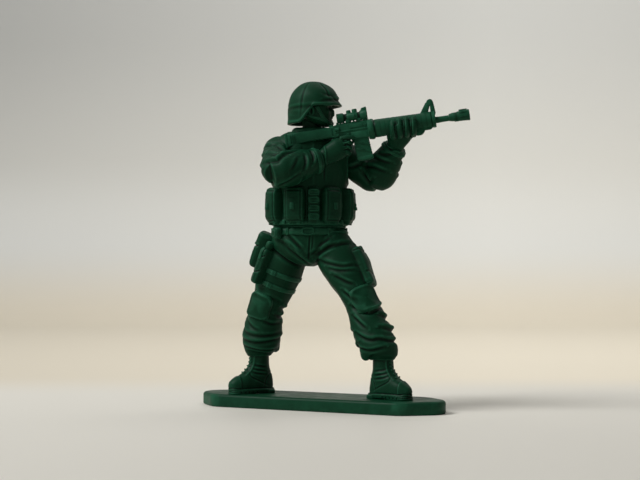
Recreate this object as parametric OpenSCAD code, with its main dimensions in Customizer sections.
// Toy soldier figure, 54 mm class: a rifleman standing on an oblong base.
// Separate plastic mouldings plug together on pegs, and the waist and the head turn on their plugs.
// Origin at the centre of the base's underside, +X towards the muzzle, -Y the figure's front, +Z up.

/* [Base] */
// Length of the base slab
base_l = 46; // [42:0.5:60]
// Width of the base slab
base_w = 12.5; // [11.5:0.5:20]
// Thickness of the base slab
base_t = 2.2; // [1.8:0.1:4]
// Length of each corner cut
corner_l = 5.1; // [1:0.1:7]
// Width of each corner cut
corner_w = 4.6; // [1:0.1:5]
// Rounding of the slab's top edge
base_edge = 0.5; // [0.1:0.1:1]

/* [Boots] */
// Boot length from heel to toe
boot_l = 8.4; // [7:0.1:10]
// Boot width over the sole
boot_w = 3.2; // [2.8:0.1:4]
// Boot height from the base to the trouser cuff
boot_h = 7.4; // [6:0.1:8]
// Diameter of the boot's shaft at the cuff
shaft_d = 3.7; // [3:0.1:4.4]
// Where the right boot's shaft stands on the base
right_ankle = [-11.7, -0.6]; // [-18:0.1:18]
// Where the left boot's shaft stands on the base
left_ankle = [12.3, -0.8]; // [-18:0.1:18]
// Direction of the right toe, in degrees from +X
right_toe_turn = -123; // [-140:1:-60]
// Direction of the left toe, in degrees from +X
left_toe_turn = -12; // [-60:1:20]

/* [Trousers] */
// Where the waist plug stands over the base
waist_centre = [-1.6, -0.8]; // [-4:0.1:4]
// Height of the waist, where the figure turns
waist_z = 31; // [29:0.1:34]
// Height of the hips from the crotch to the waist
hip_h = 6.2; // [5.6:0.1:7]
// Width over the hips
hip_w = 12.9; // [11:0.1:15]
// Depth of the hips, front to back
hip_d = 9.4; // [8:0.1:11]
// Direction that the hips face, in degrees from +X
hip_turn = -64; // [-90:1:-40]
// Right hip joint, from the waist's centre
right_hip_offset = [-3.6, -0.4, -3.4]; // [-6:0.1:6]
// Left hip joint, from the waist's centre
left_hip_offset = [4.2, 0.4, -3.6]; // [-6:0.1:6]
// Right knee, sideways from the right hip joint
right_knee_offset = [-4.4, -0.4, 0]; // [-8:0.1:8]
// Left knee, sideways from the left hip joint
left_knee_offset = [5.9, -0.5, 0]; // [-8:0.1:8]
// Height of the right knee, as a share of the way from the boot's top to the hip joint
right_knee_share = 0.42; // [0.3:0.01:0.55]
// Height of the left knee, as a share of the way from the boot's top to the hip joint
left_knee_share = 0.45; // [0.3:0.01:0.55]
// Direction that the right knee faces, in degrees from +X
right_knee_turn = -95; // [-130:1:-60]
// Direction that the left knee faces, in degrees from +X
left_knee_turn = -38; // [-70:1:-10]
// Diameter of the trousers at the thigh
thigh_d = 7.1; // [6:0.1:8]
// Diameter of the trousers at the knee
knee_d = 5.6; // [5:0.1:7]
// Diameter of the trousers where they blouse over the boot
blouse_d = 6.8; // [5:0.1:7.5]
// Diameter of the trouser cuff
cuff_d = 4.5; // [4.2:0.1:5.5]
// Width of the trouser belt
belt_w = 1.3; // [0.8:0.1:1.6]
// Thickness of the trouser belt
belt_t = 0.4; // [0.3:0.05:0.8]
// Length of the cargo pocket on the left thigh
pocket_l = 6.2; // [4:0.1:7]
// Width of the cargo pocket
pocket_w = 4.6; // [3:0.1:5]
// How far the cargo pocket stands out
pocket_t = 0.9; // [0.4:0.05:1.2]
// Width of a knee pad
pad_w = 4.2; // [3:0.1:5]
// Height of a knee pad
pad_h = 4.8; // [3:0.1:6]
// Thickness of a knee pad
pad_t = 0.5; // [0.3:0.05:0.8]

/* [Holster] */
// Length of the holster
holster_l = 6.2; // [5.6:0.1:8]
// Width of the holster
holster_w = 1.9; // [1.6:0.1:3]
// Thickness of the holster
holster_t = 2.0; // [1.6:0.1:3]
// Length of the pouch behind the holster
side_pouch_l = 6.2; // [5:0.1:7]
// Width of the pouch behind the holster
side_pouch_w = 3.0; // [2:0.1:3.4]
// Thickness of the pouch behind the holster
side_pouch_t = 2.6; // [1.8:0.1:3]
// Side of the thigh that the holster is on, in degrees from +X
holster_turn = -119; // [-125:1:-110]
// Side of the thigh that the pouch is on, in degrees from +X
side_pouch_turn = -158; // [-170:1:-155]
// Width of a thigh strap
strap_w = 0.9; // [0.6:0.05:1.2]
// Thickness of a thigh strap
strap_t = 0.35; // [0.3:0.05:0.6]

/* [Torso and vest] */
// Width of the torso at the chest
chest_w = 11.6; // [10:0.1:13]
// Depth of the torso at the chest
chest_d = 8.4; // [7:0.1:10]
// Height of the torso from the waist to the neck
torso_h = 15.6; // [14:0.1:17]
// Direction that the chest faces, in degrees from +X
chest_turn = -54; // [-70:1:-40]
// Thickness of the vest
vest_t = 0.7; // [0.5:0.05:1]
// Width of a magazine pouch on the vest
pouch_w = 3.5; // [2.8:0.1:3.8]
// Height of a magazine pouch on the vest
pouch_h = 6.2; // [5:0.1:7]
// Thickness of a magazine pouch
pouch_t = 1.5; // [1:0.1:2]
// Width of the buckle strip down the vest's front
buckle_w = 2.0; // [1.4:0.1:2.2]

/* [Arms] */
// Right shoulder, from the middle of the torso's top
right_shoulder_offset = [-4.1, -3.8, -2.7]; // [-8:0.1:8]
// Left shoulder, from the middle of the torso's top
left_shoulder_offset = [4.3, 4.0, -3.5]; // [-8:0.1:8]
// Right upper arm, from the shoulder to the elbow
right_upper_arm = [3.1, -5.6, -3.8]; // [-10:0.1:10]
// Left upper arm, from the shoulder to the elbow
left_upper_arm = [6.2, 1.3, -3.7]; // [-10:0.1:10]
// Right wrist, from the rifle's grip
right_wrist_offset = [-3.1, -1.3, -1.9]; // [-6:0.1:6]
// Left wrist, from the middle of the rifle's handguard
left_wrist_offset = [-1.7, 2.1, -2.4]; // [-6:0.1:6]
// Diameter of a sleeve at the upper arm
sleeve_d = 5.2; // [4:0.1:6]
// Diameter of a sleeve at the wrist
wrist_d = 3.4; // [2.8:0.1:4]

/* [Head and helmet] */
// Neck's turning axis, from the waist's centre
neck_offset = [1.2, -1.4]; // [-3:0.1:3]
// Centre of the head, from the neck's axis
head_offset = [1.0, -0.7]; // [-2:0.1:2]
// Direction that the face looks, in degrees from +X
head_turn = 23; // [10:1:40]
// Height of the chin above the torso
chin_gap = 1.1; // [1:0.1:2]
// Height of the helmet from its rim to its crown
helmet_h = 7.1; // [6.6:0.1:8]
// Length of the helmet from brim to back
helmet_l = 9.1; // [8.6:0.1:10]
// Width of the helmet over the ears
helmet_w = 7.9; // [7.4:0.1:9]
// Thickness of the helmet's shell
helmet_t = 0.6; // [0.4:0.05:0.9]
// Height of the helmet's rim above the chin
rim_gap = 0.5; // [0.3:0.1:1]
// Height of the helmet's brim above its rim
brim_h = 2.9; // [2.4:0.1:3.4]
// Diameter of the neck
neck_d = 3.4; // [2.8:0.1:4]
// Width of the chin strap
chin_strap_w = 0.6; // [0.4:0.05:0.9]

/* [Rifle] */
// Middle of the butt, from the middle of the torso's top
butt_offset = [-1.3, -5.85, -1.7]; // [-8:0.05:8]
// Direction of the barrel, in degrees from +X
rifle_turn = 23.4; // [15:0.1:30]
// Rise of the barrel, in degrees
rifle_rise = 8.4; // [0:0.1:12]
// Rifle length from butt to muzzle
rifle_l = 31.1; // [29:0.1:34]
// Length of the stock
stock_l = 7.8; // [6:0.1:8.4]
// Length of the receiver
receiver_l = 6.4; // [5:0.1:7]
// Length of the handguard
handguard_l = 11.4; // [10:0.1:12]
// Length of the flash hider
hider_l = 3.3; // [2:0.1:4]
// Diameter of the handguard at its back end
handguard_d = 3.0; // [2.6:0.1:3.4]
// Diameter of the handguard at its front end
handguard_front_d = 2.5; // [2:0.1:3]
// Diameter of the barrel
barrel_d = 1.1; // [0.9:0.05:1.4]
// Diameter of the flash hider
hider_d = 1.65; // [1.4:0.05:2]
// Thickness of the receiver and the stock, side to side
receiver_t = 1.5; // [1.2:0.05:2]
// Height of the stock's comb above the barrel's axis
comb_h = 1.3; // [1:0.05:1.6]
// Depth of the butt's toe below the barrel's axis
toe_h = 0.9; // [0.6:0.05:1.4]
// Height of the receiver's rail above the barrel's axis
rail_h = 1.5; // [1.2:0.05:1.8]
// Depth of the magazine well below the barrel's axis
well_h = 1.2; // [0.9:0.05:1.6]
// Depth of the pistol grip below the barrel's axis
grip_h = 4.0; // [3.4:0.1:4.6]
// Length of the front sight's foot
sight_l = 2.5; // [2:0.1:3]
// Height of the front sight above the barrel's axis
sight_h = 3.5; // [2.8:0.1:4]
// Depth of the magazine below the receiver
magazine_h = 3.8; // [3:0.1:5]
// Length of the magazine along the rifle
magazine_l = 2.7; // [2.2:0.1:3]
// Length of the optic
optic_l = 4.8; // [4:0.1:5]
// Diameter of the optic's tube
optic_d = 1.5; // [1.2:0.05:1.8]

/* [Fits] */
// Diameter of the pegs that join the mouldings
peg_d = 1.8; // [1.4:0.1:2.2]
// Depth that a peg goes in
peg_l = 1.6; // [1.2:0.1:1.7]
// Gap between glued mouldings
seam = 0.05; // [0.03:0.01:0.1]
// Radial clearance of a peg in its socket
peg_fit = 0.05; // [0.03:0.01:0.09]
// Gap between the turning faces
turn_gap = 0.2; // [0.1:0.05:0.4]
// Diameter of the waist plug
waist_plug_d = 3.2; // [2.4:0.1:4]
// Length of the waist plug
waist_plug_l = 3.4; // [2.6:0.1:5]
// How far the waist turns to each side before the stop pin meets its slot's end, in degrees
waist_swing = 45; // [20:1:60]
// Distance of the stop pin behind the waist plug
stop_r = 2.9; // [2.4:0.1:3.2]
// Diameter of the stop pin
stop_d = 0.9; // [0.7:0.05:1.2]
// Height of the stop pin
stop_h = 0.7; // [0.5:0.05:1]
// Diameter of the neck plug
neck_plug_d = 2.2; // [1.6:0.1:2.6]
// Length of the neck plug
neck_plug_l = 2.4; // [1.8:0.1:3]

/* [Hidden] */

plastic = "#1d4633";
sides = 18;
far = 200;
up = [0, 0, 1];
boot_top_z = base_t + boot_h;
crotch_z = waist_z - hip_h;
belt_z = waist_z - turn_gap - belt_w / 2;
torso_bottom_z = waist_z + turn_gap;
torso_top_z = torso_bottom_z + torso_h;
chin_z = torso_top_z + chin_gap;
rim_z = chin_z + rim_gap;
brim_z = rim_z + brim_h;
crown_z = rim_z + helmet_h;
neck_centre = waist_centre + neck_offset;
head_centre = neck_centre + head_offset;
socket_d = peg_d + 2 * peg_fit;
peg_root = peg_d * 0.3;

function unit(v) = v / norm(v);
function mix(a, b, share) = a + (b - a) * share;
function level(p, z) = [p[0], p[1], z];
function heading(turn) = [cos(turn), sin(turn), 0];

right_hip = level(waist_centre, waist_z) + right_hip_offset;
left_hip = level(waist_centre, waist_z) + left_hip_offset;
right_knee = level(right_hip + right_knee_offset, mix(boot_top_z, right_hip[2], right_knee_share));
left_knee = level(left_hip + left_knee_offset, mix(boot_top_z, left_hip[2], left_knee_share));
right_shoulder = level(waist_centre, torso_top_z) + right_shoulder_offset;
left_shoulder = level(waist_centre, torso_top_z) + left_shoulder_offset;
right_elbow = right_shoulder + right_upper_arm;
left_elbow = left_shoulder + left_upper_arm;
rifle_butt = level(waist_centre, torso_top_z) + butt_offset;

// Places along the rifle, from the butt
handguard_s = stock_l + receiver_l;
barrel_s = handguard_s + handguard_l;
grip_s = stock_l + receiver_l * 0.08;
grip_l = receiver_l * 0.25;
grip_lean = grip_h * 0.22;
magazine_lean = magazine_h * 0.07;
magazine_s = handguard_s - magazine_l - magazine_lean;
small_of_stock = toe_h * 0.55;
handguard_lap = 4 * seam;

// One closed ring of points: half sizes along two directions, squarer as the power grows
function ring(c, u, v, half_u, half_v, power) = [for (i = [0:sides - 1])
    let (x = cos(360 * i / sides), y = sin(360 * i / sides))
    c + u * half_u * sign(x) * pow(abs(x), 2 / power) + v * half_v * sign(y) * pow(abs(y), 2 / power)];

// Rings of an upright form. A station is [z, front, back, half width, power], measured from an axis.
function upright(at, turn, stations, grow = 0) = [for (i = [0:len(stations) - 1])
    let (s = stations[i],
         end = i == 0 ? -grow : i == len(stations) - 1 ? grow : 0,
         c = level(at, s[0] + end) + heading(turn) * (s[1] + s[2]) / 2)
    ring(c, heading(turn), heading(turn + 90), (s[1] - s[2]) / 2 + grow, s[3] + grow, s[4])];

// Direction of a path at one of its points
function along(path, i) = unit(path[min(i + 1, len(path) - 1)] - path[max(i - 1, 0)]);

// Rings square to a path. A size is [half across, half to the front], and front is where it faces.
function limb(path, sizes, front, power = 2, grow = 0) = [for (i = [0:len(path) - 1])
    let (t = along(path, i),
         v = unit(front - t * (front * t)),
         end = i == 0 ? -grow : i == len(path) - 1 ? grow : 0)
    ring(path[i] + t * end, cross(v, t), v, sizes[i][0] + grow, sizes[i][1] + grow, power)];

// Solid skin over a list of rings
module skin(rings) {
    last = (len(rings) - 1) * sides;
    polyhedron(
        points = [for (r = rings) each r],
        faces = [
            [for (j = [0:sides - 1]) j],
            [for (j = [sides - 1:-1:0]) last + j],
            for (i = [0:sides:last - sides], j = [0:sides - 1]) let (k = (j + 1) % sides)
                each [[i + j, i + sides + j, i + sides + k], [i + j, i + sides + k, i + k]]],
        convexity = 8);
}

// Cylinder from one point to another
module rod(from, to, d) {
    v = to - from;
    translate(from) rotate([0, acos(v[2] / norm(v)), atan2(v[1], v[0])])
        cylinder(d = d, h = norm(v), $fn = 48);
}

// Half space in front of a point, or behind it
module half_space(at, turn, back) {
    translate(at) rotate([0, 0, turn + (back ? 180 : 0)]) translate([0, -far / 2, -far / 2]) cube(far);
}

// Everything above a height
module above(z) {
    translate([-far / 2, -far / 2, z]) cube(far);
}

// Slab square to a direction, which takes a band from a shell
module slab(at, direction, width) {
    rod(at - unit(direction) * width / 2, at + unit(direction) * width / 2, far);
}

// Plug with a bulge near its tip, which snaps into a socket of the same outline
plug_bulge = 0.15;
plug_root = 0.6;
module snap_plug(d, l, clear = 0) {
    stem = d / 2 - plug_bulge + clear;
    bulge = d / 2 + clear;
    rotate_extrude($fn = 64) polygon([[0, -plug_root], [stem, -plug_root], [stem, l * 0.45], [bulge, l * 0.65],
        [bulge, l * 0.75], [stem, l + clear], [0, l + clear]]);
}

// Base

function base_corners() = let (x = base_l / 2, y = base_w / 2, a = x - corner_l, b = y - corner_w)
    [[x, -b], [x, b], [a, y], [-a, y], [-x, b], [-x, -b], [-a, -y], [a, -y]];

module base() {
    slice = 0.01;
    edge_z = base_t - base_edge;
    color(plastic) difference() {
        union() {
            linear_extrude(edge_z) polygon(base_corners());
            hull() for (a = [0:22.5:90])
                translate([0, 0, edge_z + (base_edge - slice) * sin(a)])
                    linear_extrude(slice) offset(delta = -base_edge * (1 - cos(a))) polygon(base_corners());
        }
        for (ankle = [right_ankle, left_ankle])
            rod(level(ankle, base_t - peg_l - peg_fit), level(ankle, base_t + peg_root), socket_d);
    }
}

// Boots

// Boot stations from the sole up: shares of the height, the toe reach, the heel reach and the half width
boot_shape = [[0, 1, 1, 1, 3], [0.12, 1, 1, 1, 3], [0.13, 0.96, 0.94, 0.9, 2.8], [0.26, 0.96, 0.94, 0.95, 2.6],
    [0.36, 0.88, 0.92, 0.94, 2.4], [0.44, 0.68, 0.9, 0.95, 2.2], [0.55, 0.5, 0.84, 0.97, 2]];
shaft_shares = [0.72, 1];
toe_share = 0.69;
function boot_stations() = [
    for (s = boot_shape) [base_t + s[0] * boot_h, s[1] * boot_l * toe_share, -s[2] * boot_l * (1 - toe_share),
        s[3] * boot_w / 2, s[4]],
    for (k = shaft_shares) [base_t + k * boot_h, shaft_d / 2, -shaft_d / 2, shaft_d * 0.46, 2]];

module boot(ankle, toe_turn) {
    color(plastic) union() {
        skin(upright(ankle, toe_turn, boot_stations()));
        rod(level(ankle, base_t - peg_l), level(ankle, base_t + peg_root), peg_d);
        rod(level(ankle, boot_top_z - peg_root), level(ankle, boot_top_z + peg_l), peg_d);
    }
}
module right_boot() boot(right_ankle, right_toe_turn);
module left_boot() boot(left_ankle, left_toe_turn);

// Trousers

// Leg stations run down the thigh and the shin to the cuff, with the trousers' diameter at each
function leg_path(hip, knee, ankle) = let (cuff = level(ankle, boot_top_z + seam))
    [mix(hip, knee, -0.12), hip, mix(hip, knee, 0.4), mix(hip, knee, 0.75), knee, mix(knee, cuff, 0.3),
     mix(knee, cuff, 0.6), mix(knee, cuff, 0.8), cuff + up * cuff_d * 0.11, cuff];
leg_sizes = [for (d = [thigh_d * 0.94, thigh_d, thigh_d, mix(thigh_d, knee_d, 0.75), knee_d,
    mix(knee_d, blouse_d, 0.6), blouse_d, blouse_d * 0.96, cuff_d * 1.1, cuff_d]) [d / 2, d / 2]];
function leg_rings(hip, knee, ankle, turn, grow) =
    limb(leg_path(hip, knee, ankle), leg_sizes, heading(turn), 2, grow);
function right_leg_rings(grow = 0) = leg_rings(right_hip, right_knee, right_ankle, right_knee_turn, grow);
function left_leg_rings(grow = 0) = leg_rings(left_hip, left_knee, left_ankle, left_knee_turn, grow);

// Box with soft edges that lies along a thigh, with its back in the trousers
function gear_rings(hip, knee, top_share, l, half_t, half_w, turn, taper, grow = 0) = let (
        axis = unit(knee - hip),
        top = mix(hip, knee, top_share) + heading(turn) * (thigh_d / 2 + half_t * 0.5))
    limb([for (k = [0, 0.08, 0.5, 0.92, 1]) top + axis * l * k],
        [for (k = [0.7, 1, mix(1, taper, 0.5), taper, taper * 0.7]) [half_w * k, half_t * k]],
        heading(turn), 4, grow);
pocket_turn = 16;
pocket_share = 0.08;
function pocket_rings() =
    gear_rings(left_hip, left_knee, pocket_share, pocket_l, pocket_t, pocket_w / 2, pocket_turn, 1);

// Hip stations from the crotch up: shares of the height, the depth and the width
hip_shape = [[0, 0.4, 0.12], [0.1, 0.72, 0.44], [0.28, 0.92, 0.78], [0.52, 1, 1], [0.8, 0.98, 0.98],
    [1, 0.94, 0.93]];
function hip_rings(grow = 0) = upright(waist_centre, hip_turn, [for (s = hip_shape)
    [mix(crotch_z, waist_z, s[0]), s[1] * hip_d / 2, -s[1] * hip_d / 2, s[2] * hip_w / 2, 2.2]], grow);

// Peg on a leg, along its thigh, into the hips
module hip_peg(hip, knee, d, extra = 0) {
    rod(mix(hip, knee, 0.3), hip - unit(knee - hip) * (peg_l + extra), d);
}

// Trouser leg, cut to lie against the hips and under the belt
module leg(hip, knee, ankle) {
    color(plastic) difference() {
        union() {
            difference() {
                children();
                skin(hip_rings(seam));
                above(belt_z - belt_w / 2 - seam);
            }
            hip_peg(hip, knee, peg_d);
        }
        rod(level(ankle, boot_top_z - peg_root), level(ankle, boot_top_z + peg_l + peg_fit), socket_d);
    }
}
module right_leg() leg(right_hip, right_knee, right_ankle) skin(right_leg_rings());
module left_leg() leg(left_hip, left_knee, left_ankle) {
    skin(left_leg_rings());
    skin(pocket_rings());
}

module hips() {
    color(plastic) difference() {
        union() {
            skin(hip_rings());
            translate(level(waist_centre, waist_z)) {
                snap_plug(waist_plug_d, waist_plug_l);
                rotate([0, 0, hip_turn + 180]) translate([stop_r, 0, -plug_root])
                    cylinder(d = stop_d, h = plug_root + stop_h, $fn = 32);
            }
        }
        hip_peg(right_hip, right_knee, socket_d, peg_fit);
        hip_peg(left_hip, left_knee, socket_d, peg_fit);
    }
}

module trouser_belt() {
    color(plastic) intersection() {
        difference() {
            skin(hip_rings(belt_t));
            skin(hip_rings(seam));
        }
        slab(level(waist_centre, belt_z), up, belt_w);
    }
}

// Knee pad: part of a shell over the leg
module knee_pad(outer, inner, knee, turn) {
    color(plastic) intersection() {
        difference() {
            skin(outer);
            skin(inner);
        }
        translate(knee) rotate([0, 0, turn]) rotate([0, 90, 0]) linear_extrude(far)
            polygon([for (a = [0:15:345]) [pad_h / 2 * soft_corner(cos(a)), pad_w / 2 * soft_corner(sin(a))]]);
    }
}
function soft_corner(x) = sign(x) * pow(abs(x), 0.5);

module right_knee_pad()
    knee_pad(right_leg_rings(pad_t + seam), right_leg_rings(seam), right_knee, right_knee_turn);
module left_knee_pad()
    knee_pad(left_leg_rings(pad_t + seam), left_leg_rings(seam), left_knee, left_knee_turn);

// Holster, its pouch and its straps, round the right thigh

holster_share = 0.01;
side_pouch_share = -0.22;
function holster_rings(grow = 0) = gear_rings(right_hip, right_knee, holster_share, holster_l, holster_t / 2,
    holster_w / 2, holster_turn, 0.8, grow);
function side_pouch_rings(grow = 0) = gear_rings(right_hip, right_knee, side_pouch_share, side_pouch_l,
    side_pouch_t / 2, side_pouch_w / 2, side_pouch_turn, 0.9, grow);

module thigh_holster() {
    color(plastic) difference() {
        skin(holster_rings());
        skin(right_leg_rings(seam));
        skin(hip_rings(belt_t + seam));
    }
}

module holster_pouch() {
    color(plastic) difference() {
        skin(side_pouch_rings());
        skin(right_leg_rings(seam));
        skin(hip_rings(belt_t + seam));
        skin(holster_rings(seam));
    }
}

// Strap round the thigh from the holster to the pouch, open on the side that they cover
module thigh_strap(share) {
    at = mix(right_hip, right_knee, share);
    color(plastic) difference() {
        intersection() {
            difference() {
                skin(right_leg_rings(strap_t));
                skin(right_leg_rings(seam));
            }
            slab(at, right_knee - right_hip, strap_w);
        }
        skin(holster_rings(seam));
        skin(side_pouch_rings(seam));
        rod(at, at + heading((holster_turn + side_pouch_turn) / 2) * thigh_d, strap_w * 4);
    }
}
module upper_thigh_strap() thigh_strap(0.42);
module lower_thigh_strap() thigh_strap(0.62);

// Torso, vest and pouches

// Torso stations: shares of the height, of the depth for the forward shift and the depth, and of the width
torso_shape = [[0, 0, 1, 0.98], [0.2, 0, 0.98, 0.96], [0.45, 0.012, 1, 0.98], [0.63, 0.036, 1.02, 1.04],
    [0.78, 0.06, 0.98, 1.04], [0.9, 0.107, 0.84, 0.88], [1, 0.143, 0.54, 0.54]];
function torso_rings(grow = 0) = upright(waist_centre, chest_turn, [for (s = torso_shape)
    [mix(torso_bottom_z, torso_top_z, s[0]), (s[1] + s[2] / 2) * chest_d, (s[1] - s[2] / 2) * chest_d,
     s[3] * chest_w / 2, 2.3]], grow);

// Peg on an arm, level into the torso at the shoulder, with its root in the sleeve
module shoulder_peg(shoulder, d, extra = 0) {
    inward = unit(level(waist_centre, shoulder[2]) - shoulder);
    rod(shoulder - inward * sleeve_d * 0.4, shoulder + inward * (2 * peg_l + extra), d);
}

// Arc slot that the stop pin runs in, behind the waist plug
module stop_slot() {
    sweep = 2 * (waist_swing + asin((stop_d / 2 + 2 * peg_fit) / stop_r));
    rotate([0, 0, hip_turn + 180 - sweep / 2]) rotate_extrude(angle = sweep, $fn = 64)
        translate([stop_r - stop_d / 2 - peg_fit, -plug_root])
            square([stop_d + 2 * peg_fit, plug_root + stop_h + peg_fit]);
}

module torso() {
    color(plastic) difference() {
        skin(torso_rings());
        translate(level(waist_centre, waist_z)) {
            snap_plug(waist_plug_d, waist_plug_l, peg_fit);
            stop_slot();
        }
        aim() stock_plate(seam);
        translate(level(neck_centre, torso_top_z)) mirror(up) snap_plug(neck_plug_d, neck_plug_l, peg_fit);
        shoulder_peg(right_shoulder, socket_d, peg_fit);
        shoulder_peg(left_shoulder, socket_d, peg_fit);
    }
}

// Half of the vest's shell, with a neck hole and holes for the arm pegs
module vest_half(back) {
    collar_d = neck_d * 1.4;
    middle = level(waist_centre, 0) + heading(chest_turn) * (back ? -seam / 2 : seam / 2);
    color(plastic) difference() {
        intersection() {
            difference() {
                skin(torso_rings(vest_t + seam));
                skin(torso_rings(seam));
            }
            half_space(middle, chest_turn, back);
            above(torso_bottom_z);
        }
        rod(level(neck_centre, torso_top_z - neck_d / 2), level(neck_centre, chin_z), collar_d);
        shoulder_peg(right_shoulder, socket_d);
        shoulder_peg(left_shoulder, socket_d);
        children();
    }
}
module vest_front() vest_half(false) aim() stock_plate(seam);
module vest_back() vest_half(true);

// Pouch on the vest, at an angle from the chest's front. A station is shares of the height and thickness.
pouch_shape = [[0, 0.5], [0.05, 0.8], [0.14, 1], [0.88, 1], [0.96, 0.86], [1, 0.6]];
module vest_pouch(angle, w, t) {
    bottom = torso_bottom_z + turn_gap;
    at = level(waist_centre, 0) + heading(chest_turn) * (chest_d / 2 + vest_t) * cos(angle)
        + heading(chest_turn + 90) * (chest_w / 2 + vest_t) * sin(angle);
    color(plastic) difference() {
        skin(upright(at, chest_turn + angle, [for (s = pouch_shape)
            [bottom + s[0] * pouch_h, t * s[1], -t, w / 2 * mix(1, s[1], 0.4), 4]]));
        skin(torso_rings(vest_t + 2 * seam));
    }
}
side_angle = 68;
front_angle = 27;
module pouch_right_side() vest_pouch(-side_angle, pouch_w, pouch_t);
module pouch_front_right() vest_pouch(-front_angle, pouch_w, pouch_t);
module vest_buckle_strip() vest_pouch(0, buckle_w, pouch_t / 2);
module pouch_front_left() vest_pouch(front_angle, pouch_w, pouch_t);
module pouch_left_side() vest_pouch(side_angle, pouch_w, pouch_t);

// Arms and hands

// Upper arm and forearm of a sleeve, which run into each other at the elbow
function upper_arm_rings(shoulder, elbow) = limb(
    [for (k = [-0.2, 0, 0.5, 0.9, 1.1]) mix(shoulder, elbow, k)],
    [for (k = [0.9, 1, 1, 0.98, 0.7]) [k, k] * sleeve_d / 2], up);
function forearm_rings(elbow, wrist, grow = 0) = limb(
    [for (k = [-0.12, 0.08, 0.4, 0.75, 1]) mix(elbow, wrist, k)],
    [for (d = [sleeve_d * 0.7, sleeve_d * 0.98, sleeve_d * 0.98, mix(sleeve_d, wrist_d, 0.7), wrist_d])
        [d, d] / 2], up, 2, grow);

// Peg on a hand, into the end of its sleeve
module wrist_peg(elbow, wrist, d, extra = 0) {
    inward = unit(elbow - wrist);
    rod(wrist - inward * peg_d * 0.45, wrist + inward * (peg_l + extra), d);
}

// Sleeve, cut to lie against the vest and anything else that is given
module arm(shoulder, elbow, wrist) {
    color(plastic) difference() {
        union() {
            difference() {
                union() {
                    skin(upper_arm_rings(shoulder, elbow));
                    skin(forearm_rings(elbow, wrist));
                }
                skin(torso_rings(vest_t + 2 * seam));
            }
            shoulder_peg(shoulder, peg_d);
        }
        wrist_peg(elbow, wrist, socket_d, peg_fit);
        children();
    }
}
module right_arm() arm(right_shoulder, right_elbow, right_wrist) aim() stock_plate(seam);
module left_arm() arm(left_shoulder, left_elbow, left_wrist);

function rifle_point(s, side, h) = let (a = heading(rifle_turn), c = cos(rifle_rise), r = sin(rifle_rise))
    rifle_butt + (a * c + up * r) * s + heading(rifle_turn + 90) * side + (up * c - a * r) * h;

// Hand that closes round the rifle, with a peg into its sleeve
module hand(path, sizes, front, elbow, wrist) {
    color(plastic) difference() {
        union() {
            difference() {
                skin(limb(path, sizes, front, 2.6));
                skin(forearm_rings(elbow, wrist, seam));
            }
            wrist_peg(elbow, wrist, peg_d);
        }
        aim() held_rifle(seam);
        skin(torso_rings(vest_t + 2 * seam));
    }
}

// Palms on the rifle, the fingertips beyond them and the wrists behind them
right_palm = rifle_point(grip_s + grip_l * 0.4, -receiver_t * 0.47, -grip_h * 0.6);
right_tip = rifle_point(grip_s + grip_l * 1.4, -receiver_t * 0.27, -grip_h * 0.55);
left_hand_s = handguard_s + handguard_l * 0.45;
left_palm = rifle_point(left_hand_s, handguard_d * 0.1, -handguard_d * 0.3);
left_tip = rifle_point(left_hand_s + handguard_d * 0.1, -handguard_d * 0.1, handguard_d * 0.1);
right_wrist = right_palm + right_wrist_offset;
left_wrist = left_palm + left_wrist_offset;

// A size is shares of the wrist's diameter
module right_hand() {
    hand([right_wrist, mix(right_wrist, right_palm, 0.5), right_palm, right_tip],
        [[0.38, 0.41], [0.44, 0.5], [0.44, 0.53], [0.3, 0.44]] * wrist_d, up, right_elbow, right_wrist);
}

module left_hand() {
    hand([left_wrist, mix(left_wrist, left_palm, 0.45), left_palm, left_tip],
        [[0.41, 0.41], [0.44, 0.44], [0.59, 0.56], [0.56, 0.53]] * wrist_d, heading(rifle_turn),
        left_elbow, left_wrist);
}

// Rifle, in its own frame: X along the barrel from the butt, Z up

module aim() {
    translate(rifle_butt) rotate([0, -rifle_rise, rifle_turn]) children();
}

// Flat plate with a side outline, centred on the rifle's middle plane
module plate(points, t) {
    rotate([90, 0, 0]) linear_extrude(t, center = true) polygon(points);
}

// Round bar along the barrel's axis
module bar(s, l, d1, d2) {
    translate([s, 0, 0]) rotate([0, 90, 0]) cylinder(d1 = d1, d2 = d2, h = l, $fn = 48);
}

// Stock, which runs a little way into the receiver
module stock_plate(gap) {
    front = stock_l + small_of_stock + gap;
    plate([[-gap, -toe_h - gap], [-gap, comb_h + gap], [front, comb_h + gap],
        [front, -small_of_stock - gap], [stock_l / 2, -small_of_stock - gap]], receiver_t + 2 * gap);
}

// What the hands close round, with a gap
module held_rifle(gap) {
    stock_plate(gap);
    plate([[stock_l - gap, -small_of_stock - gap], [stock_l - gap, rail_h + gap],
        [handguard_s + gap, rail_h + gap], [handguard_s + gap, -well_h - gap],
        [magazine_s - gap, -well_h - gap]], receiver_t + 2 * gap);
    plate([[grip_s - gap, -small_of_stock], [grip_s + grip_l + gap, -small_of_stock],
        [grip_s + grip_l - grip_lean + gap, -grip_h - gap], [grip_s - grip_lean - gap, -grip_h - gap]],
        receiver_t * 0.8 + 2 * gap);
    bar(handguard_s - handguard_lap, handguard_l + handguard_lap + gap, handguard_d + 2 * gap,
        handguard_front_d + 2 * gap);
}

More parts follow.
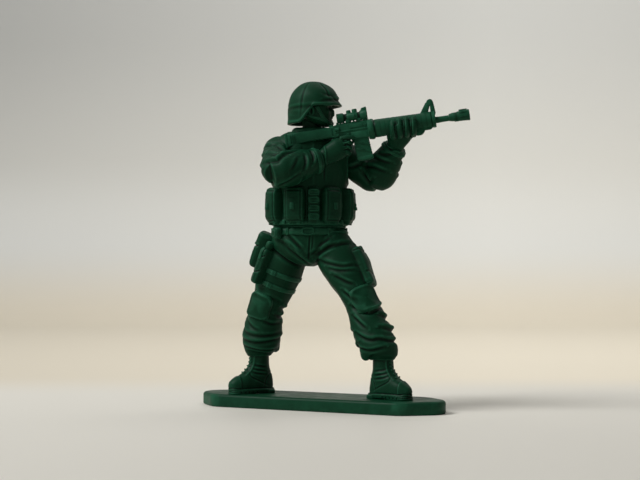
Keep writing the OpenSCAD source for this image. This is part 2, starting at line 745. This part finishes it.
module rifle_body() {
    deck = handguard_front_d * 0.38;
    lug_h = handguard_front_d * 0.82;
    sight_t = sight_l * 0.32;
    back = barrel_s - sight_l;
    window = deck + (sight_h - deck) * 0.28;
    window_top = deck + (sight_h - deck) * 0.64;
    color(plastic) aim() union() {
        held_rifle(0);
        bar(barrel_s - barrel_d, rifle_l - hider_l / 2 - barrel_s + barrel_d, barrel_d, barrel_d);
        bar(rifle_l - hider_l, hider_l, hider_d, hider_d);
        difference() {
            plate([[back, deck], [back + sight_l * 0.64, sight_h], [back + sight_l * 0.92, sight_h],
                [barrel_s, deck]], sight_t);
            plate([[back + sight_l * 0.44, window], [back + sight_l * 0.72, window_top],
                [back + sight_l * 0.78, window]], sight_t * 2);
        }
        plate([[back - sight_l * 0.16, -deck], [back - sight_l * 0.04, -lug_h], [back + sight_l * 0.36, -lug_h],
            [back + sight_l * 0.76, -deck]], sight_t);
    }
}

module rifle_magazine() {
    top = -well_h - seam;
    bottom = top - magazine_h;
    front = magazine_s + magazine_l;
    color(plastic) aim() plate([[magazine_s, top], [front, top], [front + magazine_lean, bottom],
        [magazine_s + magazine_lean, bottom]], receiver_t * 0.75);
}

module rifle_optic() {
    s = handguard_s - optic_l;
    foot_z = rail_h + seam;
    axis_z = foot_z + optic_d * 0.67;
    foot_s = s + optic_l * 0.17;
    foot_end = handguard_s - optic_l * 0.12;
    color(plastic) aim() union() {
        translate([0, 0, axis_z]) bar(s, optic_l, optic_d, optic_d);
        plate([[foot_s, foot_z], [foot_s, axis_z], [foot_end, axis_z], [foot_end, foot_z]], optic_d * 0.6);
        for (k = [0.3, 0.6]) translate([s + optic_l * k, 0, axis_z])
            cylinder(d = optic_d * 0.75, h = optic_d * 0.73, $fn = 32);
    }
}

// Head, helmet and chin strap

head_room = 0.4;
face_setback = 0.6;
head_top_z = crown_z - helmet_t - head_room;
skull_front = helmet_l / 2 - helmet_t - face_setback;
skull_back = helmet_l / 2 - helmet_t - 2 * seam;
skull_half_w = helmet_w / 2 - helmet_t - 2 * seam;
// Head stations: shares of the height from chin to top, and of the front, the back and the half width
head_shape = [[0, 0.72, 0.35, 0.5], [0.1, 0.92, 0.62, 0.72], [0.25, 1, 0.8, 0.84], [0.45, 1, 0.92, 0.94],
    [0.62, 0.94, 0.92, 0.92], [0.78, 0.72, 0.76, 0.76], [0.9, 0.44, 0.5, 0.5], [1, 0.14, 0.16, 0.16]];
function head_rings(grow = 0) = upright(head_centre, head_turn, [for (s = head_shape)
    [mix(chin_z, head_top_z, s[0]), s[1] * skull_front, -s[2] * skull_back, s[3] * skull_half_w, 2.1]], grow);

module neck(gap) {
    rod(level(neck_centre, torso_top_z + turn_gap - gap), level(neck_centre, rim_z + rim_gap), neck_d + 2 * gap);
}

module head() {
    color(plastic) union() {
        skin(head_rings());
        neck(0);
        translate(level(neck_centre, torso_top_z)) mirror(up) snap_plug(neck_plug_d, neck_plug_l);
    }
}

// Helmet stations: shares of the height from rim to crown, and of the front, the back and the half width
helmet_shape = [[0, 0.9, 0.9, 0.95], [0.22, 0.98, 1, 1], [0.42, 1, 1, 1], [0.62, 0.86, 0.94, 0.94],
    [0.8, 0.66, 0.76, 0.76], [0.92, 0.42, 0.5, 0.5], [1, 0.2, 0.22, 0.22]];
function helmet_rings(thick) = upright(head_centre, head_turn, [for (s = helmet_shape)
    [mix(rim_z, crown_z, s[0]) - thick * (s[0] == 0 ? 1 : s[0]), s[1] * helmet_l / 2 - thick,
     -s[2] * helmet_l / 2 + thick, s[3] * helmet_w / 2 - thick, 2.1]]);

// Side outline of the open face below the brim, with an arch over the ear
module face_opening() {
    low = rim_z - helmet_h;
    arch = helmet_l * 0.066;
    back = -helmet_l * 0.264;
    translate(level(head_centre, 0)) rotate([0, 0, head_turn]) rotate([90, 0, 0])
        linear_extrude(far, center = true) polygon([[back, low], [back, mix(rim_z, brim_z, 0.1)],
            [-3 * arch, mix(rim_z, brim_z, 0.6)], [-arch, mix(rim_z, brim_z, 0.9)], [arch, brim_z],
            [far / 2, brim_z], [far / 2, low]]);
}

module helmet() {
    color(plastic) difference() {
        skin(helmet_rings(0));
        skin(helmet_rings(helmet_t));
        face_opening();
    }
}

module chin_strap() {
    ear = level(head_centre, brim_z) + heading(head_turn) * helmet_l * 0.022;
    chin = level(head_centre, chin_z) + heading(head_turn) * skull_front * 0.75;
    color(plastic) difference() {
        intersection() {
            difference() {
                skin(head_rings(strap_t));
                skin(head_rings(seam));
            }
            slab(mix(ear, chin, 0.5), cross(chin - ear, heading(head_turn + 90)), chin_strap_w);
        }
        neck(seam);
        above(mix(rim_z, brim_z, 0.88));
    }
}

base();
right_boot();
left_boot();
right_leg();
left_leg();
hips();
trouser_belt();
right_knee_pad();
left_knee_pad();
thigh_holster();
holster_pouch();
upper_thigh_strap();
lower_thigh_strap();
torso();
vest_front();
vest_back();
pouch_right_side();
pouch_front_right();
vest_buckle_strip();
pouch_front_left();
pouch_left_side();
right_arm();
right_hand();
left_arm();
left_hand();
rifle_body();
rifle_magazine();
rifle_optic();
head();
helmet();
chin_strap();
